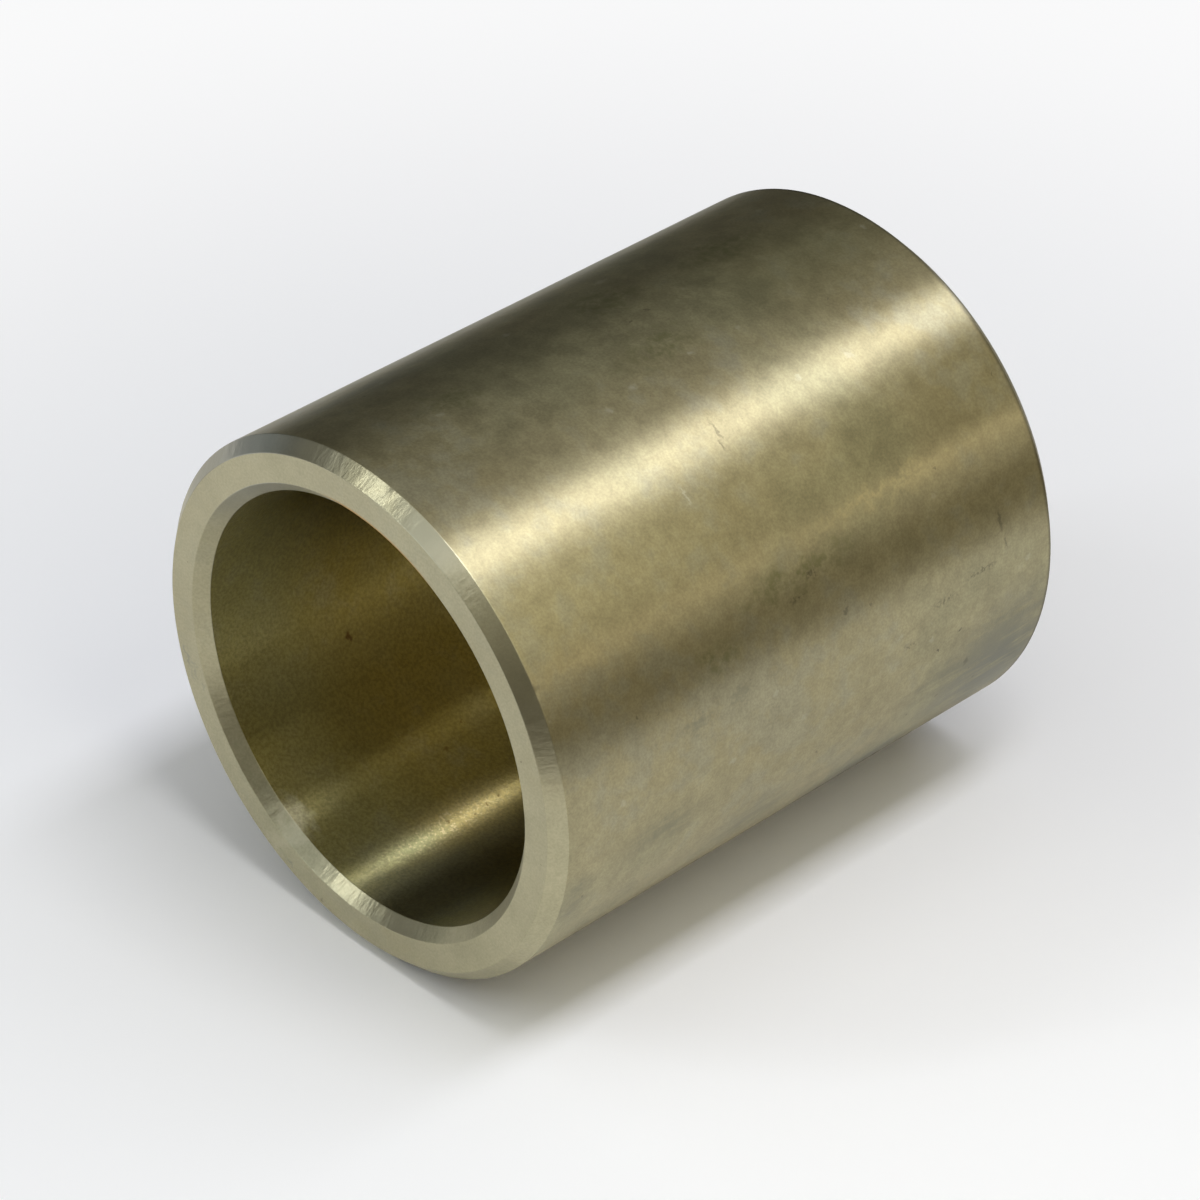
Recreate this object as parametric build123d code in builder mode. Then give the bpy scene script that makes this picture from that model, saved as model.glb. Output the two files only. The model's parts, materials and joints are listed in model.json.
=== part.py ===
"""Plain bronze sleeve bushing, 40 mm bore, 50 mm outside, 60 mm long.

The bushing is one turned piece of bearing bronze. A housing grips its outside and a shaft turns in
its bore. It lies on its side, with the bore along Y and the origin on the bore's axis at mid-length.
"""

import os

from build123d import *

# Driving dimensions, in millimetres.
bore_diameter = 40.0  # running surface for the shaft
wall = 5.0  # radial thickness between the bore and the outside
length = 60.0  # over the two end faces
outer_chamfer = 1.2  # leg of the 45 degree lead-in that starts the press into a housing, both ends
bore_chamfer = 1.1  # leg of the 45 degree lead-in for the shaft, both ends
edge_break = 0.12  # rounding radius where a chamfer meets the faces beside it

# Places that follow from them.
bore_radius = bore_diameter / 2
outside_radius = bore_radius + wall
bore_axis = Axis.Y

# The sleeve: half its section, turned about the bore's axis. The section is drawn in the plane that
# holds the axis: its own X runs along the bore and its own Y runs out from the axis.
with BuildPart() as sleeve:
    with BuildSketch(Plane.YZ) as section:
        with Locations((0, bore_radius)):
            Rectangle(length, wall, align=(Align.CENTER, Align.MIN))
        bore_corners = section.vertices().group_by(Axis.Y)[0]
        outside_corners = section.vertices().group_by(Axis.Y)[-1]
        chamfer(bore_corners, bore_chamfer)
        chamfer(outside_corners, outer_chamfer)
        fillet(section.vertices(), edge_break)
    revolve(axis=bore_axis)

sleeve.part.label = "sleeve"

os.makedirs("parts", exist_ok=True)
export_step(sleeve.part, "parts/sleeve.step")

print("outside diameter", 2 * outside_radius, "bore", bore_diameter, "length", length)
print("volume mm3", round(sleeve.part.volume, 1))
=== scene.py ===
"""Looks for the plain bronze sleeve bushing: one turned sleeve, lying on its side on a pale floor.

The sleeve is one surface of revolution about Y. Every place on it is given by two parameters: the
angle round the bore's axis, from straight up towards +X, and the distance along its section.
All lengths are in metres.
"""

import json

import bpy
import numpy as np
from mathutils import Matrix, Vector


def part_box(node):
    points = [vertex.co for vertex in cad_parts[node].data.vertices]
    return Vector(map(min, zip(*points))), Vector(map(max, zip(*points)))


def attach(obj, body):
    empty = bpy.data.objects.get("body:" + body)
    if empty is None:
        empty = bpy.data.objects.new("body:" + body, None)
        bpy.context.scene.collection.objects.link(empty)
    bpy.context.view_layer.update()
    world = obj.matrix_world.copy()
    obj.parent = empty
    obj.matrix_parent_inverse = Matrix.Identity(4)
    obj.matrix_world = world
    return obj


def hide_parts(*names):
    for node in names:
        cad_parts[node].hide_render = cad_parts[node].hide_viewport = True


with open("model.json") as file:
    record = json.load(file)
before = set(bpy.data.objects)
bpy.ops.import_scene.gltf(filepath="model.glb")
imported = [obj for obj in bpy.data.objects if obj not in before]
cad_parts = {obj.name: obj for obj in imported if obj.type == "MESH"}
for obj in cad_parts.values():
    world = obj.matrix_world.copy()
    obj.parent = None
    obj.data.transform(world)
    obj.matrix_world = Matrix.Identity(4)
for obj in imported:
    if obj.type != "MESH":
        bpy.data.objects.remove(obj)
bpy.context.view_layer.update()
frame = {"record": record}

# ---------------------------------------------------------------------------------------------
# Sizes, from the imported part
# ---------------------------------------------------------------------------------------------
low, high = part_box("sleeve")
mounts = {mount["name"]: mount for mount in frame["record"]["mounts"]}
LENGTH = high.y - low.y
OUTSIDE_RADIUS = (high.x - low.x) / 2
BORE_RADIUS = mounts["bore"]["dims"]["r_mm"] / 1000
WALL_MIDDLE = (OUTSIDE_RADIUS + BORE_RADIUS) / 2
OUTER_CHAMFER = 0.0012  # along Y and along the radius, as for the next one
BORE_CHAMFER = 0.0011
EDGE_BREAK = 0.00012  # the radius of the round on every other edge
LIP_RADIUS = BORE_RADIUS + BORE_CHAMFER
REAR_SHOULDER = LENGTH / 2 - OUTER_CHAMFER  # where the outside ends at the rear chamfer
FLOOR_LEVEL = low.z

# ---------------------------------------------------------------------------------------------
# The sleeve's mesh
# ---------------------------------------------------------------------------------------------
TURN_STEPS = 600  # columns of faces round the axis
ARC_STEPS = 4  # faces across each rounded edge
EDGE_MARGIN = 0.00008  # the last row on a straight stands this far from its rounded edge


def section_corners():
    """The section's eight sharp corners as (distance along the bore, radius), going round it with
    the metal on the left: along the bore's wall first, then the rear end, the outside, the front."""
    half, ro, ri = LENGTH / 2, OUTSIDE_RADIUS, BORE_RADIUS
    return np.array([
        (half - BORE_CHAMFER, ri),
        (half, ri + BORE_CHAMFER),
        (half, ro - OUTER_CHAMFER),
        (half - OUTER_CHAMFER, ro),
        (-half + OUTER_CHAMFER, ro),
        (-half, ro - OUTER_CHAMFER),
        (-half, ri + BORE_CHAMFER),
        (-half + BORE_CHAMFER, ri),
    ])


# What each straight is, in the order of the corners that start it, and how many steps it has.
STRAIGHTS = (
    ("chamfer", 3),
    ("end", 6),
    ("chamfer", 3),
    ("outside", 56),
    ("chamfer", 3),
    ("end", 6),
    ("chamfer", 3),
    ("bore", 36),
)

# The finishes, in the order of the mesh's materials. A rounded edge has the finish of the chamfers.
FINISHES = ("outside", "end", "chamfer", "bore")
FINISH_OF = {"outside": "outside", "end": "end", "chamfer": "chamfer", "edge": "chamfer", "bore": "bore"}


def straight_rows(start, end, steps):
    """Points from start to end: both ends, one close to each of them, and between those ones that
    stand nearer to each other towards the ends, at the mean of even steps and a cosine's steps:
    share = (even + (1 - cos(pi * even)) / 2) / 2."""
    margin = EDGE_MARGIN / np.linalg.norm(end - start)
    even = np.linspace(0, 1, steps + 1)[1:-1]
    share = np.concatenate([[0, margin], even / 2 + (1 - np.cos(np.pi * even)) / 4, [1 - margin]])
    return start + (end - start) * share[:, None]


def straight_row_count(zone):
    """How many rows straight_rows gives for a zone."""
    return dict(STRAIGHTS)[zone] + 2


def edge_rows(corner, before, after):
    """The rounded edge at a corner: an arc of radius EDGE_BREAK that is tangent to both straights.
    The centre lies on the bisector, and the points go from one tangent point to the other."""
    a = (before - corner) / np.linalg.norm(before - corner)
    b = (after - corner) / np.linalg.norm(after - corner)
    half_angle = np.arccos(np.clip(a @ b, -1, 1)) / 2
    bisector = (a + b) / np.linalg.norm(a + b)
    centre = corner + bisector * EDGE_BREAK / np.sin(half_angle)
    reach = EDGE_BREAK / np.tan(half_angle)
    first, last = corner + a * reach - centre, corner + b * reach - centre
    turn = np.arctan2(first[0] * last[1] - first[1] * last[0], first @ last)
    angles = np.linspace(0, turn, ARC_STEPS + 1)[:-1]
    cos, sin = np.cos(angles), np.sin(angles)
    x = first[0] * cos - first[1] * sin
    y = first[0] * sin + first[1] * cos
    return centre + np.stack([x, y], 1)


def section():
    """The closed section as rows of (distance along the bore, radius), with each row's zone."""
    corners = section_corners()
    count = len(corners)
    inset = EDGE_BREAK * np.tan(np.pi / 8)  # every corner turns by 45 degrees
    rows, zones = [], []
    for i in range(count):
        before, corner, after = corners[i - 1], corners[i], corners[(i + 1) % count]
        rows.append(edge_rows(corner, before, after))
        zones += ["edge"] * ARC_STEPS
        direction = (after - corner) / np.linalg.norm(after - corner)
        zone, steps = STRAIGHTS[i]
        straight = straight_rows(corner + direction * inset, after - direction * inset, steps)
        rows.append(straight)
        zones += [zone] * len(straight)
    return np.concatenate(rows), np.array(zones)


# Slow waves of the lathe and the casting, as (waves round the axis, length along it in metres,
# height in metres, phase): they hardly move the surface, but they bend what it reflects.
LATHE_WAVES = (
    (2, 0.090, 0.0000060, 0.4),
    (5, -0.047, 0.0000050, 2.1),
    (9, 0.029, 0.0000040, 4.4),
    (14, -0.021, 0.0000030, 1.2),
    (23, 0.013, 0.0000018, 5.3),
)

# Chatter of the chamfering tool, as (waves round the axis, height in metres, phase).
CHATTER = ((37, 0.0000050, 0.7), (83, 0.0000030, 3.9), (131, 0.0000018, 1.6), (173, 0.0000012, 2.7))

# Small knocks on the edges, as (degrees round from straight up, then all in metres: place along Y,
# radius, width, depth).
KNOCKS = (
    (11.0, -0.0288, 0.0250, 0.00036, 0.00007),
    (8.4, -0.0291, 0.0247, 0.00022, 0.00003),
    (186.5, -0.0298, 0.0211, 0.00025, 0.00003),
    (191.0, -0.0293, 0.0206, 0.00022, 0.00002),
    (58.0, -0.0288, 0.0250, 0.00035, 0.00005),
    (284.0, -0.0290, 0.0249, 0.00045, 0.00008),
    (262.0, 0.0291, 0.0249, 0.00050, 0.00010),
    (150.0, 0.0289, 0.0250, 0.00045, 0.00007),
    (233.0, 0.0298, 0.0242, 0.00060, 0.00009),
    (87.0, 0.0299, 0.0212, 0.00040, 0.00006),
)
KNOCK_REACH = 0.003  # how far from each end the place lies that a knock drives the metal towards
TINY = 1e-9  # added to a length that is divided by


def lathe_waves(angle, y):
    """The sum of the waves: height * sin(waves * angle + 2 pi * y / length + phase)."""
    return sum(
        height * np.sin(waves * angle + 2 * np.pi * y / length + phase)
        for waves, length, height, phase in LATHE_WAVES
    )


def chatter(angle, across):
    """The sum of height * sin(waves * angle + phase), times sin(pi * across), so that it dies out at
    both edges of a chamfer, where across is 0 and 1. Twice round the axis it swells and fades,
    between 0.3 and 1 times that, as 0.65 + 0.35 * sin(2 * angle + 1.9)."""
    total = sum(height * np.sin(waves * angle + phase) for waves, height, phase in CHATTER)
    swell = 0.65 + 0.35 * np.sin(2 * angle + 1.9)
    return total * swell * np.sin(np.pi * across)


def knocked(points):
    """Each knock moves the points near it towards the middle of the wall, a little way in from the
    end, by depth * exp(-(distance / width) squared)."""
    radius = np.hypot(points[..., 0], points[..., 2])
    inward = np.stack([
        points[..., 0] * (WALL_MIDDLE / radius - 1),
        np.clip(points[..., 1], -LENGTH / 2 + KNOCK_REACH, LENGTH / 2 - KNOCK_REACH) - points[..., 1],
        points[..., 2] * (WALL_MIDDLE / radius - 1),
    ], -1)
    inward /= np.linalg.norm(inward, axis=-1, keepdims=True) + TINY
    for turn, y, r, width, depth in KNOCKS:
        centre = np.array([r * np.sin(np.radians(turn)), y, r * np.cos(np.radians(turn))])
        distance = np.linalg.norm(points - centre, axis=-1, keepdims=True)
        points = points + inward * depth * np.exp(-((distance / width) ** 2))
    return points


def across_chamfers(zones, along):
    """How far across its chamfer each row is, from 0 to 1, and 0 for every other row. The rows of one
    chamfer are neighbours, and along is how far along the section each row is."""
    across = np.zeros(len(zones))
    chamfer = zones == "chamfer"
    for start in np.flatnonzero(chamfer & ~np.roll(chamfer, 1)):
        rows = np.arange(start, start + straight_row_count("chamfer"))
        across[rows] = (along[rows] - along[start]) / (along[rows[-1] + 1] - along[start])
    return across


def sleeve_mesh():
    """The section turned about Y: x = radius * sin(angle), z = radius * cos(angle). The lathe's waves
    move it along the radius, the chatter moves the chamfers square to themselves, and then the
    knocks are put in."""
    rows, zones = section()
    count = len(rows)
    angle = np.linspace(0, 2 * np.pi, TURN_STEPS, endpoint=False)
    step = np.roll(rows, -1, 0) - rows
    along = np.concatenate([[0], np.cumsum(np.linalg.norm(step, axis=1))])
    y, radius = rows[:, 0][:, None], rows[:, 1][:, None]
    shake = chatter(angle, across_chamfers(zones, along)[:, None]) / np.sqrt(2)
    away_from_wall = np.where(radius > WALL_MIDDLE, 1, -1)
    radius = radius + lathe_waves(angle, y) + shake * away_from_wall
    y = y + shake * np.sign(y)
    turned = np.broadcast_arrays(radius * np.sin(angle), y, radius * np.cos(angle))
    points = knocked(np.stack(turned, -1))

    # The faces' corners go round anticlockwise, seen from outside the metal.
    row, column = np.meshgrid(np.arange(count), np.arange(TURN_STEPS), indexing="ij")
    next_row, next_column = (row + 1) % count, (column + 1) % TURN_STEPS
    faces = np.stack([
        row * TURN_STEPS + column,
        next_row * TURN_STEPS + column,
        next_row * TURN_STEPS + next_column,
        row * TURN_STEPS + next_column,
    ], -1).reshape(-1, 4)

    mesh = bpy.data.meshes.new("bronze_sleeve")
    mesh.from_pydata(points.reshape(-1, 3), [], faces)
    mesh.polygons.foreach_set("use_smooth", np.ones(len(faces), bool))

    # The map: U round the axis, V along the section, both from 0 to 1 over the whole sleeve.
    u = np.stack([column, column, column + 1, column + 1], -1) / TURN_STEPS
    v = along[np.stack([row, row + 1, row + 1, row], -1)] / along[-1]
    layer = mesh.uv_layers.new(name="turning")
    layer.uv.foreach_set("vector", np.stack([u, v], -1).astype(np.float32).ravel())

    # The lay: a place on the turned surface as metres round the axis (as two coordinates, so that it
    # meets itself after a full turn) and metres along the section.
    turn = 2 * np.pi * u
    lay = np.stack([OUTSIDE_RADIUS * np.sin(turn), v * along[-1], OUTSIDE_RADIUS * np.cos(turn)], -1)
    attribute = mesh.attributes.new("lay", "FLOAT_VECTOR", "CORNER")
    attribute.data.foreach_set("vector", lay.astype(np.float32).ravel())

    finish = np.repeat([FINISHES.index(FINISH_OF[zone]) for zone in zones], TURN_STEPS)
    mesh.polygons.foreach_set("material_index", finish.astype(np.int32))
    mesh.validate()
    return mesh


# ---------------------------------------------------------------------------------------------
# Materials
# ---------------------------------------------------------------------------------------------
class Recipe:
    """Builds the nodes of a material or of the world: most methods add nodes and give back their
    output."""

    def __init__(self, owner):
        owner.use_nodes = True
        self.owner = owner
        self.nodes = owner.node_tree.nodes
        self.links = owner.node_tree.links

    def put(self, socket, value):
        """Links an output to the socket, or sets any other value on it."""
        if isinstance(value, bpy.types.NodeSocket):
            self.links.new(value, socket)
        else:
            socket.default_value = value

    def node(self, kind, **settings):
        """A new node of a kind, with its settings."""
        node = self.nodes.new("ShaderNode" + kind)
        for key, value in settings.items():
            setattr(node, key, value)
        return node

    def math(self, operation, a, b=0.0, clamp=False):
        """A sum, product or the like of two numbers."""
        node = self.node("Math", operation=operation, use_clamp=clamp)
        self.put(node.inputs[0], a)
        self.put(node.inputs[1], b)
        return node.outputs[0]

    def vector(self, operation, a, b=(0, 0, 0)):
        """A sum, product, length or the like of vectors."""
        node = self.node("VectorMath", operation=operation)
        self.put(node.inputs[0], a)
        self.put(node.inputs[1], b)
        return node.outputs["Value" if operation in ("LENGTH", "DOT_PRODUCT") else "Vector"]

    def noise(self, place, scale, detail=2.0, roughness=0.5, output="Fac"):
        """Noise with so many lumps to the metre."""
        node = self.node("TexNoise")
        self.put(node.inputs["Vector"], place)
        node.inputs["Scale"].default_value = scale
        node.inputs["Detail"].default_value = detail
        node.inputs["Roughness"].default_value = roughness
        return node.outputs[output]

    def ramp(self, value, low, high, bottom=0.0, top=1.0):
        """Value from low to high becomes bottom to top along a smooth step, and stays inside them."""
        node = self.node("MapRange", interpolation_type="SMOOTHSTEP")
        self.put(node.inputs["Value"], value)
        for name, number in zip(("From Min", "From Max", "To Min", "To Max"), (low, high, bottom, top)):
            node.inputs[name].default_value = number
        return node.outputs["Result"]

    def blend(self, share, a, b, how="MIX"):
        """Colour a where share is 0, and b where it is 1."""
        node = self.node("Mix", data_type="RGBA", blend_type=how)
        self.put(node.inputs[0], share)
        self.put(node.inputs[6], a)
        self.put(node.inputs[7], b)
        return node.outputs[2]

    def bump(self, height, distance, normal=None):
        """The normals of a relief: height from 0 to 1 rises by the distance."""
        node = self.node("Bump")
        node.inputs["Distance"].default_value = distance
        self.put(node.inputs["Height"], height)
        if normal is not None:
            self.links.new(normal, node.inputs["Normal"])
        return node.outputs["Normal"]

    def tool_grooves(self, lay, pitch, slope):
        """The normals of fine round-bottomed grooves round the axis. Across each groove, which is one
        pitch wide, the slope goes evenly from +slope to -slope."""
        along = self.math("MULTIPLY", self.vector("DOT_PRODUCT", lay, (0, 1, 0)), 1 / pitch)
        place = self.math("SUBTRACT", self.math("FRACT", along), 0.5)
        tilt = self.node("CombineXYZ")
        self.put(tilt.inputs[1], self.math("MULTIPLY", place, -2 * slope))
        tilt.inputs[2].default_value = 1
        direction = self.vector("MULTIPLY", self.vector("NORMALIZE", tilt.outputs[0]), (0.5, 0.5, 0.5))
        node = self.node("NormalMap", uv_map="turning")
        self.put(node.inputs["Color"], self.vector("ADD", direction, (0.5, 0.5, 0.5)))
        return node.outputs["Normal"]

    def seen_directly(self):
        """1 for camera, glossy and transmission rays, and 0 for the rest."""
        path = self.node("LightPath")
        total = self.math("ADD", path.outputs["Is Camera Ray"], path.outputs["Is Glossy Ray"])
        return self.math("ADD", total, path.outputs["Is Transmission Ray"], clamp=True)


# The colours of the metal itself, and of painted shade and painted highlights on it.
BRONZE = (0.394, 0.350, 0.207, 1)  # the clean metal of the outside
FACED = (0.455, 0.419, 0.270, 1)  # the ends and chamfers, lighter than the outside
BORED = (0.305, 0.264, 0.094, 1)  # the bore, which shows itself in itself and looks more golden
DEEP_PAINTED_SHADE = (0.335, 0.252, 0.060, 1)  # painted shade: the bore well inside, away from the light of the mouth
GOLDEN_PAINTED_HIGHLIGHT = (0.580, 0.450, 0.180, 1)  # painted highlight: the golden streak along the foot of the bore
GREEN_GOLD_PAINTED_HIGHLIGHT = (0.440, 0.430, 0.215, 1)  # painted highlight: the end of that streak that is nearer to the mouth
PAINTED_GLINT = (0.900, 0.760, 0.420, 1)  # painted glints in the core of that streak
PAINTED_HIGHLIGHT = (0.600, 0.560, 0.390, 1)  # painted highlight, on the chamfers and at the mouth of the bore
GOLD_LINE_PAINTED_HIGHLIGHT = (0.560, 0.480, 0.265, 1)  # painted highlight: a golden line along the outside

# The colours of tarnish, stains and dirt, and of painted shade and painted reflections.
WARM = (0.420, 0.360, 0.200, 1)  # tarnish, in clouds
GREENISH = (0.345, 0.324, 0.198, 1)  # tarnish, in the clouds between those
GREY_FILM = (0.300, 0.294, 0.222, 1)  # a dull film, in blotches
PALE_FILM_AND_REFLECTION = (0.420, 0.402, 0.338, 1)  # a powdery film along the upper left of the outside, with a painted pale reflection along that rim
COOL_PAINTED_REFLECTION = (0.375, 0.380, 0.345, 1)  # a painted cool reflection on the front outer chamfer
SHADOWED = (0.250, 0.228, 0.150, 1)  # the darker places of that chamfer
DULL_PAINTED_SHADE = (0.215, 0.212, 0.155, 1)  # painted shade on the underside of the bore, near its mouth
BLUE_STAIN = (0.235, 0.232, 0.178, 1)  # the large stains low on the outside
OLIVE_STAIN = (0.255, 0.245, 0.125, 1)  # stains on the outside
SMUDGE = (0.225, 0.220, 0.150, 1)  # brushed smudges on the outside
BURNT = (0.520, 0.270, 0.070, 1)  # a warm line on the front lip of the bore
GRIME = (0.120, 0.105, 0.070, 1)  # in scratches, pits and specks
BROWN_SPECK = (0.150, 0.080, 0.015, 1)  # specks in the bore
EDGE_PAINTED_SHADE = (0.070, 0.066, 0.060, 1)  # painted shade along the rear outer edge
DUST = (0.600, 0.570, 0.440, 1)  # pale specks and nicks


class Bronze(Recipe):
    """Satin turned bronze."""

    def __init__(self, name, colour):
        super().__init__(bpy.data.materials.new(name))
        self.place = self.node("TexCoord").outputs["Object"]
        self.lay = self.node("Attribute", attribute_name="lay").outputs["Vector"]
        self.ragged = self.shaken(700, 0.005)
        self.worn = self.shaken(2200, 0.0009)
        self.colour = colour
        self.rough = 0.0
        self.normal = None
        self.powder = None

    def shaken(self, scale, size):
        """The place, moved by a noise of a given scale and size: what is drawn has a rough edge."""
        noise = self.noise(self.place, scale, 3.0, output="Color")
        drift = self.vector("SUBTRACT", noise, (0.5, 0.5, 0.5))
        return self.vector("ADD", self.place, self.vector("MULTIPLY", drift, (size, size, size)))

    def along(self):
        """How far along Y each place is."""
        return self.vector("DOT_PRODUCT", self.place, (0, 1, 0))

    def tint(self, share, colour, strength=1.0):
        """Blends a colour over what is there so far, where share is high."""
        self.colour = self.blend(self.math("MULTIPLY", share, strength), self.colour, colour)

    def shade(self, value, low, high, darkest, lightest):
        """Makes the colour darker or lighter, as value goes from low to high."""
        level = self.ramp(value, low, high, darkest, lightest)
        grey = self.node("CombineColor")
        for i in range(3):
            self.links.new(level, grey.inputs[i])
        self.colour = self.blend(1.0, self.colour, grey.outputs[0], "MULTIPLY")

    def roughen(self, value, amount):
        """Makes the metal rougher, by the amount where value is 1."""
        self.rough = self.math("ADD", self.rough, self.math("MULTIPLY", value, amount))

    def relief(self, height, distance):
        """Adds a relief to those that are there so far."""
        self.normal = self.bump(height, distance, self.normal)

    def patch(self, turn, from_front, round_size, along_size, soft=0.5, radius=OUTSIDE_RADIUS,
              up_size=0.008, place=None):
        """1 inside an oval and 0 outside it. Its middle is so many degrees round from straight up, and
        so far from the front end. It has half sizes round the axis, along it and along the radius,
        and soft is the share of them over which it fades."""
        turn = np.radians(turn)
        middle = (radius * np.sin(turn), from_front - LENGTH / 2, radius * np.cos(turn))
        node = self.node("Mapping", vector_type="TEXTURE")
        self.links.new(place or self.ragged, node.inputs["Vector"])
        node.inputs["Location"].default_value = middle
        node.inputs["Rotation"].default_value = (0, turn, 0)
        node.inputs["Scale"].default_value = (round_size, along_size, up_size)
        return self.ramp(self.vector("LENGTH", node.outputs[0]), 1.0, 1.0 - soft)

    def mark(self, turn, from_front, round_size, along_size, soft=0.8, radius=OUTSIDE_RADIUS):
        """A small patch with a finely worn edge."""
        return self.patch(turn, from_front, round_size, along_size, soft, radius, place=self.worn)

    def patches(self, *ovals, soft=0.9):
        """The strongest of several patches, each given by its first four values."""
        return self.any(*(self.patch(*oval, soft) for oval in ovals))

    def marks(self, *spots, radius=OUTSIDE_RADIUS):
        """The strongest of several marks, each given by its first four or five values."""
        return self.any(*(self.mark(*spot, radius=radius) for spot in spots))

    def any(self, *shares):
        """The strongest of several shares."""
        total = shares[0]
        for share in shares[1:]:
            total = self.math("MAXIMUM", total, share)
        return total

    def both(self, a, b):
        """The product of two shares."""
        return self.math("MULTIPLY", a, b)

    def patina(self, strength=1.0):
        """What all the faces share: warm and greenish clouds, a patchy grey film that is duller, and
        a mottle and blotches of a few millimetres."""
        clouds = self.noise(self.place, 55, 3.0, 0.55)
        self.tint(self.ramp(clouds, 0.50, 0.68), WARM, 0.50 * strength)
        self.tint(self.ramp(clouds, 0.50, 0.34), GREENISH, 0.60 * strength)
        mottle = self.noise(self.place, 270, 4.0, 0.62)
        film = self.ramp(self.math("ADD", self.both(clouds, 0.45), self.both(mottle, 0.55)), 0.50, 0.62)
        self.tint(film, GREY_FILM, 0.45 * strength)
        self.roughen(film, 0.030 * strength)
        self.roughen(self.ramp(mottle, 0.36, 0.64), 0.030 * strength)
        self.shade(mottle, 0.34, 0.66, 1 - 0.10 * strength, 1 + 0.08 * strength)
        blotch = self.noise(self.place, 750, 3.0, 0.6)
        self.shade(blotch, 0.33, 0.67, 1 - 0.06 * strength, 1 + 0.05 * strength)
        self.roughen(blotch, 0.020 * strength)

    def grain(self, strength=1.0):
        """Fine speckle of the metal's grains, and the short grooves that the turning tool leaves."""
        grains = self.noise(self.place, 4300, 2.0, 0.6)
        self.shade(grains, 0.30, 0.70, 1 - 0.09 * strength, 1 + 0.08 * strength)
        grooves = self.noise(self.vector("MULTIPLY", self.lay, (300, 2200, 300)), 1.0, 2.0, 0.6)
        self.shade(grooves, 0.32, 0.68, 1 - 0.01 * strength, 1 + 0.01 * strength)
        self.relief(grooves, 0.000001 * strength)
        self.relief(grains, 0.000006 * strength)

    def pits(self, spacing, size, share_kept=0.5):
        """Small pits: one at most in each cell of a given spacing, in a given share of the cells."""
        cells = self.node("TexVoronoi")
        self.put(cells.inputs["Vector"], self.worn)
        cells.inputs["Scale"].default_value = 1 / spacing
        chance = self.node("SeparateColor")
        self.links.new(cells.outputs["Color"], chance.inputs[0])
        kept = self.ramp(chance.outputs[0], 1 - share_kept, 1 - share_kept + 0.01)
        dots = self.ramp(cells.outputs["Distance"], size / spacing, 0.5 * size / spacing)
        return self.both(dots, kept)

    def finish(self, roughness, anisotropy):
        """Joins the steps to the shader. The brushed highlight runs across the tool marks, which go
        round the axis: a quarter turn from the map's U. Powder on the metal takes away its shine."""
        shader = self.nodes["Principled BSDF"]
        self.links.new(self.colour, shader.inputs["Base Color"])
        self.links.new(self.math("ADD", self.rough, roughness), shader.inputs["Roughness"])
        self.links.new(self.normal, shader.inputs["Normal"])
        if self.powder is None:
            shader.inputs["Metallic"].default_value = 1
        else:
            self.links.new(self.math("SUBTRACT", 1.0, self.powder), shader.inputs["Metallic"])
            shader.inputs["Specular IOR Level"].default_value = 0
        shader.inputs["Anisotropic"].default_value = anisotropy
        shader.inputs["Anisotropic Rotation"].default_value = 0.25
        tangent = self.node("Tangent", direction_type="UV_MAP", uv_map="turning")
        self.links.new(tangent.outputs["Tangent"], shader.inputs["Tangent"])
        return self.owner


EDGE_SHADE_WIDTH = 0.00045  # of the line of painted shade along the rear edge of the outside
EDGE_SHADE_OVERLAP = 0.0002  # how far before that edge the painted shade of the chamfer's material sets in
OUTER_BAND = (0.0225, 0.0232)  # the radii between which it sets in, well outside the bore's chamfer
LIP_FADE = 0.00008  # how far out the bore's lip keeps its warm line, and then over what width it fades


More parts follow.
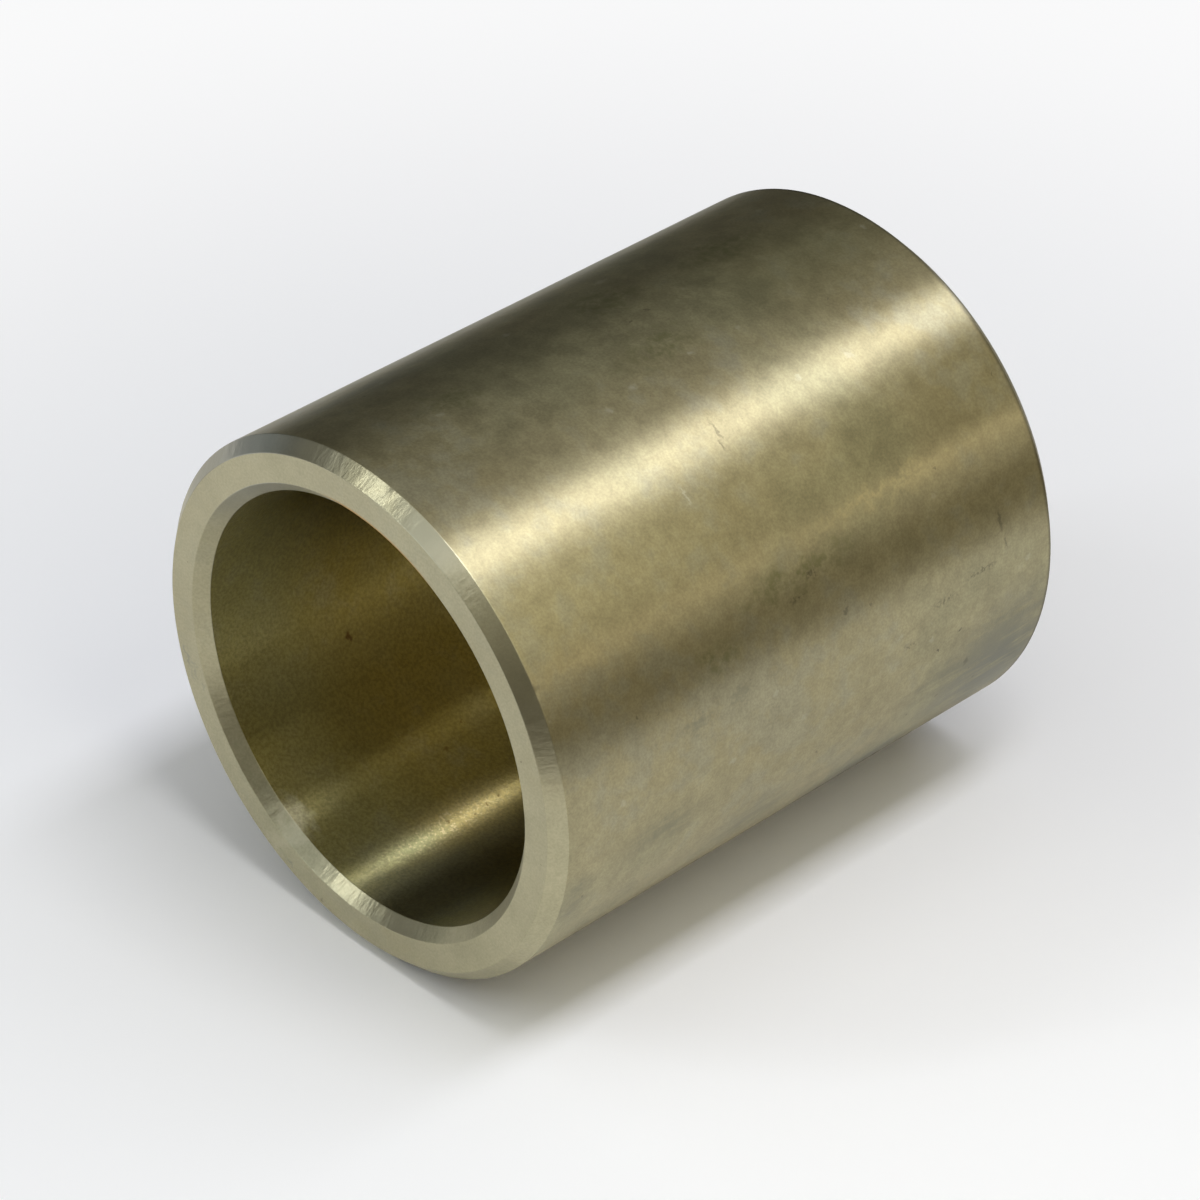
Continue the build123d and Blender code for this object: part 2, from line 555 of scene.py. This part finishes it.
def turned_outside():
    """The outside: the dullest and most handled of the faces, with stains, specks and scratches. A
    powdery film along its upper left rim also carries a painted pale reflection, a golden line of
    painted highlight runs along it, and a thin line of painted shade lies along its rear edge. It gets
    smoother towards the rear end."""
    r = Bronze("turned_bronze_outside", BRONZE)
    r.patina()
    r.grain()
    broken = r.ramp(r.noise(r.place, 1100, 3.0, 0.65), 0.34, 0.66)

    brushed = r.noise(r.vector("MULTIPLY", r.lay, (900, 110, 900)), 1.0, 3.0, 0.65)
    stained = r.any(
        r.patch(112, 0.0540, 0.0120, 0.0120, 0.95),
        r.patch(127, 0.0400, 0.0050, 0.0120, 0.9),
    )
    r.tint(r.both(stained, r.ramp(brushed, 0.24, 0.52)), BLUE_STAIN, 1.0)
    r.roughen(stained, 0.03)
    smudged = r.patches(
        (102, 0.0125, 0.0034, 0.0060),
        (108, 0.0030, 0.0050, 0.0030),
        (-24, 0.0100, 0.0040, 0.0140),
        (116, 0.0240, 0.0040, 0.0080),
        (79, 0.0210, 0.0010, 0.0022),
        (80.5, 0.0160, 0.0009, 0.0020),
        (105, 0.0455, 0.0030, 0.0060),
        (232, 0.0350, 0.0060, 0.0120),
        (300, 0.0500, 0.0050, 0.0070),
    )
    r.tint(r.both(smudged, r.ramp(brushed, 0.30, 0.64)), SMUDGE, 0.62)
    # Along the upper left rim of the outside: a powdery film, and with it a painted pale reflection.
    upper_left = r.any(
        r.patch(-41, 0.0300, 0.0068, 0.0600, 0.6, place=r.place),
        r.patch(-34, 0.0030, 0.0060, 0.0120, 0.9, place=r.place),
    )
    film = r.both(upper_left, r.ramp(r.noise(r.place, 900, 3.0, 0.6), 0.25, 0.75, 0.30, 1.0))
    r.tint(film, PALE_FILM_AND_REFLECTION, 0.8)
    r.powder = r.both(film, 0.35)
    along = r.along()
    r.roughen(r.ramp(along, 0.0, 0.028), -0.038)
    # A thin line of painted shade along the rear edge of the outside.
    r.tint(r.ramp(along, REAR_SHOULDER - EDGE_SHADE_WIDTH, REAR_SHOULDER), EDGE_PAINTED_SHADE, 0.6)
    olive = r.patches(
        (9, 0.0310, 0.0030, 0.0060),
        (-11, 0.0330, 0.0034, 0.0050),
        (-4, 0.0130, 0.0026, 0.0040),
        (63, 0.0300, 0.0016, 0.0110),
        (70, 0.0200, 0.0018, 0.0040),
        (-8, 0.0460, 0.0030, 0.0060),
        (188, 0.0200, 0.0040, 0.0100),
    )
    r.tint(r.both(olive, broken), OLIVE_STAIN, 0.95)
    r.tint(r.patch(4, 0.0500, 0.0100, 0.0160, 0.9), OLIVE_STAIN, 0.35)
    # A golden line of painted highlight along the outside, broken into flecks.
    line = r.patch(56.5, 0.0410, 0.0013, 0.0130, 0.9)
    painted_highlight_flecks = r.ramp(r.noise(r.place, 2800, 2.0, 0.6), 0.32, 0.68, 0.25, 1.0)
    r.tint(r.both(line, painted_highlight_flecks), GOLD_LINE_PAINTED_HIGHLIGHT, 0.60)

    dust = r.pits(0.0032, 0.00045, 0.22)
    r.tint(dust, DUST, 0.25)
    r.roughen(dust, 0.05)
    specks = r.any(r.pits(0.0027, 0.00020, 0.25), r.pits(0.0061, 0.00030, 0.30))
    r.tint(specks, GRIME, 0.45)

    scratches = r.marks(
        (31, 0.0294, 0.0016, 0.00022),
        (34, 0.0290, 0.0007, 0.00018),
        (74, 0.0529, 0.0016, 0.00024),
        (79, 0.0533, 0.0009, 0.00020),
        (104, 0.0492, 0.0008, 0.00036),
        (145, 0.0210, 0.0030, 0.00018),
        (262, 0.0410, 0.0026, 0.00020),
        (321, 0.0180, 0.0024, 0.00018),
    )
    r.tint(scratches, GRIME, 0.50)
    dots = r.ramp(r.noise(r.place, 3600, 1.0, 0.5), 0.42, 0.64)
    dotted = r.marks(
        (82.2, 0.0500, 0.00040, 0.0030, 0.9),
        (84.2, 0.0455, 0.00045, 0.0026, 0.9),
        (90, 0.0410, 0.00035, 0.0014, 0.9),
        (64, 0.0312, 0.00080, 0.0009, 0.9),
        (67, 0.0290, 0.00050, 0.0014, 0.9),
    )
    r.tint(r.both(dotted, dots), GRIME, 0.60)
    holes = r.marks(
        (95.5, 0.0448, 0.00026, 0.00026, 0.7),
        (93.5, 0.0475, 0.00024, 0.00024, 0.7),
        (112, 0.0430, 0.00018, 0.00018, 0.7),
        (217, 0.0250, 0.00026, 0.00026, 0.7),
    )
    r.tint(holes, GRIME, 0.80)
    nicks = r.marks(
        (39.5, 0.0230, 0.0014, 0.00018),
        (15, 0.0260, 0.00045, 0.0007, 0.9),
        (17, 0.0225, 0.00040, 0.0005, 0.9),
        (14, 0.0330, 0.00035, 0.0005, 0.9),
        (-16, 0.0240, 0.00050, 0.0006, 0.9),
        (-19, 0.0360, 0.00070, 0.0009, 0.9),
        (168, 0.0440, 0.0016, 0.00018),
        (5.5, 0.0575, 0.00050, 0.00030, 0.9),
    )
    r.tint(nicks, DUST, 0.45)
    return r.finish(0.396, 0.892)


def faced_metal(name, roughness, anisotropy, torn, chamfered=False):
    """The end faces and the chamfers: evenly cut, with a few small pits, a painted highlight low on the
    left of the front bore chamfer, and three grey marks on the front end face. The tool may have torn
    the surface a little, which then has flecks as deep as the given height. The top of the front lip
    has a warm line."""
    r = Bronze(name, FACED)
    r.patina(0.45)
    r.grain(0.8)
    flecks = r.noise(r.vector("MULTIPLY", r.lay, (1500, 700, 1500)), 1.0, 2.0, 0.6)
    r.relief(flecks, torn)
    pits = r.any(r.pits(0.0021, 0.00017, 0.25), r.pits(0.0047, 0.00024, 0.30))
    r.tint(pits, GRIME, 0.50)
    # A painted highlight low on the left of the front bore chamfer.
    worn = r.patch(209, 0.0008, 0.0024, 0.0016, 0.8, radius=BORE_RADIUS + 0.0003)
    r.tint(worn, PAINTED_HIGHLIGHT, 0.45)
    marks = r.any(
        r.patch(255, 0.0, 0.0016, 0.002, 0.8, radius=0.0226, up_size=0.0004),
        r.patch(249, 0.0, 0.0006, 0.002, 0.8, radius=0.0219, up_size=0.0003),
        r.patch(205, 0.0, 0.0005, 0.002, 0.8, radius=0.0231, up_size=0.0003),
    )
    r.tint(marks, GREY_FILM, 0.7)
    radius = r.vector("LENGTH", r.vector("MULTIPLY", r.place, (1, 0, 1)))
    inner_side = r.ramp(radius, LIP_RADIUS - 0.0001, LIP_RADIUS)
    outer_side = r.ramp(radius, LIP_RADIUS + 2 * LIP_FADE, LIP_RADIUS + LIP_FADE)
    top = r.patch(11, 0.0, 0.0084, 0.0040, 0.6, LIP_RADIUS, 0.005, r.place)
    r.tint(r.both(r.both(inner_side, outer_side), top), BURNT, 0.80)
    if chamfered:
        paint_light_on_chamfers(r, radius)
    return r.finish(roughness, anisotropy)


def paint_light_on_chamfers(r, radius):
    """Along the front outer chamfer, a cool painted reflection at the upper left, then places of painted
    shade and painted highlight, as (degrees round, half size round the axis, fade, half size along the
    radius, colour, strength). The front bore chamfer has a painted highlight at its foot, and the edge
    of the rear outer chamfer has a thin line of painted shade."""
    middle = OUTSIDE_RADIUS - OUTER_CHAMFER / 2
    # Painted reflection, painted shade and painted highlights on the front outer chamfer.
    for turn, size, soft, up_size, colour, strength in (
        (-36, 0.0180, 0.9, 0.008, COOL_PAINTED_REFLECTION, 0.75),
        (58, 0.0110, 0.8, 0.004, SHADOWED, 0.70),
        (-50, 0.0066, 0.9, 0.006, SHADOWED, 0.60),
        (23, 0.0048, 0.8, 0.003, PAINTED_HIGHLIGHT, 0.90),
        (-9, 0.0046, 0.9, 0.003, PAINTED_HIGHLIGHT, 0.80),
    ):
        share = r.patch(turn, OUTER_CHAMFER / 2, size, 0.0040, soft, middle, up_size, r.place)
        r.tint(share, colour, strength)
    # A painted highlight at the foot of the front bore chamfer.
    foot = r.patch(167, 0.0006, 0.0042, 0.0030, 0.9, BORE_RADIUS + 0.0006, 0.003, r.place)
    r.tint(foot, PAINTED_HIGHLIGHT, 0.60)
    # A thin line of painted shade along the edge of the rear outer chamfer.
    behind = r.ramp(r.along(), REAR_SHOULDER - EDGE_SHADE_OVERLAP, REAR_SHOULDER)
    r.tint(r.both(behind, r.ramp(radius, *OUTER_BAND)), EDGE_PAINTED_SHADE, 0.5)


def bored_inside():
    """The bore: fine round-bottomed tool grooves, grains and a few specks. Well inside, painted shade
    makes its colour deeper. Near the mouth its foot has painted shade, with a golden streak of
    painted highlight and painted glints."""
    r = Bronze("bored_bronze", BORED)
    along = r.along()
    # Painted shade: the colour grows deeper well inside the bore, away from the light of the mouth.
    past_mouth = r.ramp(along, 0.005 - LENGTH / 2, 0.017 - LENGTH / 2)
    before_rear = r.ramp(along, 0.027, 0.018)
    r.tint(r.both(past_mouth, before_rear), DEEP_PAINTED_SHADE, 0.9)
    r.patina(0.35)
    # Painted shade on the underside of the bore, near its mouth.
    r.tint(r.patch(170, 0.0050, 0.0120, 0.0220, 0.95, BORE_RADIUS), DULL_PAINTED_SHADE, 0.6)
    # A golden streak of painted highlight along the foot of the bore.
    golden_streak_highlight = r.patch(187.5, 0.0150, 0.0036, 0.0130, 0.95, BORE_RADIUS, place=r.worn)
    r.tint(golden_streak_highlight, GOLDEN_PAINTED_HIGHLIGHT, 0.9)
    # The greenish painted highlight at the end of the streak nearer to the mouth.
    green_gold_highlight = r.patch(187.5, 0.0085, 0.0022, 0.0060, 0.95, BORE_RADIUS, place=r.worn)
    r.tint(green_gold_highlight, GREEN_GOLD_PAINTED_HIGHLIGHT, 0.7)
    # A painted highlight low on the left, at the mouth of the bore.
    worn = r.patch(210, 0.0012, 0.0034, 0.0026, 0.95, BORE_RADIUS)
    r.tint(worn, PAINTED_HIGHLIGHT, 0.5)
    grains = r.noise(r.place, 3300, 2.0, 0.65)
    r.shade(grains, 0.28, 0.72, 0.80, 1.18)
    # Painted glints, in the core of the streak of painted highlight.
    painted_glints = r.ramp(r.noise(r.place, 3600, 2.0, 0.6), 0.52, 0.66)
    core = r.patch(187.5, 0.0120, 0.0022, 0.0110, 0.95, BORE_RADIUS, place=r.worn)
    r.tint(r.both(core, painted_glints), PAINTED_GLINT, 0.8)
    spots = r.marks(
        (207, 0.0180, 0.00026, 0.00026, 0.9),
        (188.0, 0.0186, 0.00022, 0.00022, 0.7),
        (187.6, 0.0170, 0.00024, 0.00020, 0.7),
        (186.6, 0.0154, 0.00020, 0.00020, 0.7),
        (188.6, 0.0128, 0.00022, 0.00022, 0.7),
        radius=BORE_RADIUS,
    )
    specks = r.any(r.pits(0.0034, 0.00022, 0.25), spots)
    r.tint(specks, BROWN_SPECK, 0.7)
    r.tint(r.mark(244.5, 0.0148, 0.00060, 0.00042, 0.7, BORE_RADIUS), BROWN_SPECK, 0.9)
    r.normal = r.tool_grooves(r.lay, pitch=0.00009, slope=1.15)
    return r.finish(0.280, 0.965)


FLOOR_LIFT = 0.85  # how far the floor is lifted towards white, clear of the sleeve
LIFTED = (0.040, 0.17)  # the distances from the sleeve's middle over which that lift sets in
FADED = (0.25, 0.7)  # and those over which the floor then fades into the white background


def glowing(name):
    """A material whose shader is taken out, a glow to put in its place, and where to link it."""
    r = Recipe(bpy.data.materials.new(name))
    r.nodes.remove(r.nodes["Principled BSDF"])
    return r, r.node("Emission"), r.nodes["Material Output"].inputs["Surface"]


def pale_floor():
    """A matt pale floor. What the camera and the metal see of it is lifted towards white, and far
    from the sleeve it fades into the white background. The lift lights nothing, and close to the
    sleeve there is none, so that the floor keeps the sleeve's shadow."""
    r, white, surface = glowing("pale_floor")
    paper = r.node("BsdfDiffuse")
    paper.inputs["Color"].default_value = (0.96, 0.96, 0.96, 1)
    r.put(white.inputs["Strength"], r.seen_directly())
    distance = r.vector("LENGTH", r.node("TexCoord").outputs["Object"])
    lift = r.ramp(distance, *LIFTED, 0.0, FLOOR_LIFT)
    fade = r.node("MixShader")
    r.put(fade.inputs[0], r.math("MAXIMUM", lift, r.ramp(distance, *FADED)))
    r.links.new(paper.outputs[0], fade.inputs[1])
    r.links.new(white.outputs[0], fade.inputs[2])
    r.links.new(fade.outputs[0], surface)
    return r.owner


def dark_cloth():
    """Dim surroundings that only the metal sees: lighter and warmer on the side between +X and +Y,
    where the room is, and darker and cooler on the other side."""
    r, glow, surface = glowing("dark_cloth")
    direction = r.vector("NORMALIZE", r.node("TexCoord").outputs["Object"])
    room_side = r.ramp(r.vector("DOT_PRODUCT", direction, (0.8, 0.6, 0)), -0.4, 0.9)
    colour = r.blend(room_side, (0.100, 0.100, 0.090, 1), (0.32, 0.29, 0.21, 1))
    r.links.new(colour, glow.inputs["Color"])
    r.links.new(glow.outputs[0], surface)
    return r.owner


# ---------------------------------------------------------------------------------------------
# The piece
# ---------------------------------------------------------------------------------------------
def add(name, data):
    """A new object in the scene, at the origin."""
    piece = bpy.data.objects.new(name, data)
    bpy.context.scene.collection.objects.link(piece)
    return piece


sleeve = add("bronze_sleeve", sleeve_mesh())
for material in (
    turned_outside(),
    faced_metal("faced_bronze_ends", 0.336, 0.694, 0.000002),
    faced_metal("chamfered_bronze_edges", 0.380, 0.85, 0.000030, chamfered=True),
    bored_inside(),
):
    sleeve.data.materials.append(material)
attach(sleeve, "root")
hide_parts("sleeve")

# ---------------------------------------------------------------------------------------------
# Floor, lamps, surroundings and camera
# ---------------------------------------------------------------------------------------------
FLOOR_HALF = 4.0
LAMP_DISTANCE = 0.6  # from the sleeve's middle, or from its axis


def placed(side, top, back, place):
    """A matrix whose columns are an object's own X, Y and Z directions and its place."""
    rows = [[side[i], top[i], back[i], place[i]] for i in range(3)]
    return Matrix(rows + [[0, 0, 0, 1]])


def lamp(name, place, side, top, width, height, radiance, colour):
    """A rectangular lamp. A flat lamp of area A that gives off light evenly with radiance L has a
    power of pi * A * L."""
    data = bpy.data.lights.new(name, "AREA")
    data.shape = "RECTANGLE"
    data.size, data.size_y = width, height
    data.energy = np.pi * width * height * radiance
    data.color = colour
    add(name, data).matrix_world = placed(side, top, side.cross(top), place)


def strip_lamp(name, turn, width, start, end, radiance, colour=(1, 1, 1), distance=LAMP_DISTANCE):
    """A lamp parallel to the bore's axis, in the direction that is turned from straight up towards
    +X, from start to end along Y, facing the axis."""
    turn = np.radians(turn)
    out = Vector((np.sin(turn), 0, np.cos(turn)))
    top = Vector((0, 1, 0))
    place = out * distance + top * (start + end) / 2
    lamp(name, place, top.cross(out), top, width, end - start, radiance, colour)


def facing_lamp(name, azimuth, elevation, width, height, radiance, colour=(1, 1, 1), roll=0):
    """A lamp facing the sleeve from an azimuth, from +X towards +Y, and an elevation. A roll leans
    its top towards +X."""
    azimuth, elevation, roll = np.radians(azimuth), np.radians(elevation), np.radians(roll)
    flat = np.cos(elevation)
    out = Vector((np.cos(azimuth) * flat, np.sin(azimuth) * flat, np.sin(elevation)))
    level = Vector((0, 0, 1)).cross(out).normalized()
    side = level * np.cos(roll) + out.cross(level) * np.sin(roll)
    lamp(name, out * LAMP_DISTANCE, side, out.cross(side), width, height, radiance, colour)


def floor():
    """A square floor at the sleeve's lowest place."""
    mesh = bpy.data.meshes.new("floor")
    signs = ((-1, -1), (1, -1), (1, 1), (-1, 1))
    corners = [(x * FLOOR_HALF, y * FLOOR_HALF, FLOOR_LEVEL) for x, y in signs]
    mesh.from_pydata(corners, [], [(0, 1, 2, 3)])
    mesh.materials.append(pale_floor())
    add("floor", mesh)


# The dark cloth's profile, as (radius, height above the floor), how many sides it has, its middle,
# and the distance over which its bulges die out.
CLOTH = (
    (0.20, 0.0006),
    (0.30, 0.004),
    (0.60, 0.02),
    (1.0, 0.05),
    (1.15, 0.12),
    (1.2, 0.3),
    (1.2, 0.7),
    (1.05, 1.05),
    (0.75, 1.25),
    (0.35, 1.33),
    (0.0001, 1.34),
)
CLOTH_SIDES = 72
CLOTH_MIDDLE = (-0.09, -0.06)  # off centre, so that the floor is seen further on the left
BULGE_REACH = 0.5


def bulge(angle, towards, size, sharpness):
    """Size * cos(angle - towards) to the power of sharpness, and 0 where the cosine is negative."""
    return size * np.clip(np.cos(angle - np.radians(towards)), 0, 1) ** sharpness


def dark_surround():
    """Dark cloth that hangs round the table and over it: its profile turned about an upright axis.
    The lower hem lies on the floor. The radius is multiplied by
    1 + bulges * exp(-radius / BULGE_REACH), so that the hem leaves more of the floor in sight on the
    front left and on the right."""
    profile = np.array(CLOTH)
    angle = np.linspace(0, 2 * np.pi, CLOTH_SIDES, endpoint=False)
    radius, height = profile[:, 0][:, None], profile[:, 1][:, None]
    bulges = bulge(angle, 225, 0.9, 1.5) + bulge(angle, 20, 0.42, 2)
    reach = radius * (1 + bulges * np.exp(-radius / BULGE_REACH))
    x = reach * np.cos(angle) + CLOTH_MIDDLE[0]
    y = reach * np.sin(angle) + CLOTH_MIDDLE[1]
    points = np.stack(np.broadcast_arrays(x, y, height + FLOOR_LEVEL), -1).reshape(-1, 3)
    row, column = np.meshgrid(np.arange(len(profile) - 1), np.arange(CLOTH_SIDES), indexing="ij")
    here, above = row * CLOTH_SIDES, (row + 1) * CLOTH_SIDES
    after = (column + 1) % CLOTH_SIDES
    faces = np.stack([here + column, above + column, above + after, here + after], -1).reshape(-1, 4)
    mesh = bpy.data.meshes.new("dark_surround")
    mesh.from_pydata(points, [], faces)
    mesh.polygons.foreach_set("use_smooth", np.ones(len(faces), bool))
    mesh.materials.append(dark_cloth())
    piece = add("dark_surround", mesh)
    piece.visible_camera = False
    piece.visible_shadow = False
    piece.visible_diffuse = False


floor()
dark_surround()
strip_lamp("overhead_near", 17.2, 0.13, -0.14, 0.16, 10.3, (0.90, 0.915, 1.0))
strip_lamp("overhead_far", 17.2, 0.13, 0.16, 0.72, 3.3, (0.90, 0.915, 1.0))
strip_lamp("overhead_front", 17.2, 0.13, -0.70, -0.14, 0.85)
strip_lamp("ceiling", -3, 0.27, -0.40, 0.35, 0.50)
strip_lamp("left_wall", -30, 0.27, -0.42, -0.04, 0.8, (1, 1, 0.92))
strip_lamp("side_fill", 41.5, 0.096, -0.068, 0.012, 2.6, (1.0, 0.975, 0.82), distance=0.16)
strip_lamp("low_strip", 66.4, 0.04, -0.10, 0.60, 1.8, (1.0, 0.89, 0.68))
facing_lamp("front_lamp", 236.6, 36.0, 0.042, 0.32, 10.6, (0.9, 0.95, 1.0), roll=15)
facing_lamp("front_panel", 246, 31, 0.50, 0.26, 0.6, (0.9, 0.95, 1.0))
facing_lamp("window", 248, 6, 0.30, 0.18, 1.8, (0.7, 0.85, 1.0))
facing_lamp("left_low", 193, 4, 0.28, 0.25, 0.3, (0.7, 0.85, 1.0))
facing_lamp("rear_right", 35, 15, 0.20, 0.16, 1.0)

# The background is white for what is seen directly, and gives only a little light.
BACKGROUND_LIGHT = 0.15
world = bpy.data.worlds.new("studio")
studio = Recipe(world)
background = studio.nodes["Background"]
background.inputs["Color"].default_value = (1, 1, 1, 1)
strength = studio.ramp(studio.seen_directly(), 0.0, 1.0, BACKGROUND_LIGHT, 1.0)
studio.links.new(strength, background.inputs["Strength"])
bpy.context.scene.world = world

CAMERA_PLACE = Vector((0.24472, -0.23305, 0.23731))
CAMERA_BACK = Vector((0.5924, -0.5601, 0.5791)).normalized()
FOCAL_LENGTH = 142.3  # in millimetres, as for the next one
SENSOR_WIDTH = 36
camera_data = bpy.data.cameras.new("camera")
camera_data.lens = FOCAL_LENGTH
camera_data.sensor_width = SENSOR_WIDTH
camera = add("camera", camera_data)
camera_side = Vector((0, 0, 1)).cross(CAMERA_BACK).normalized()
camera.matrix_world = placed(camera_side, CAMERA_BACK.cross(camera_side), CAMERA_BACK, CAMERA_PLACE)
bpy.context.scene.camera = camera
bpy.context.scene.view_settings.view_transform = "Standard"
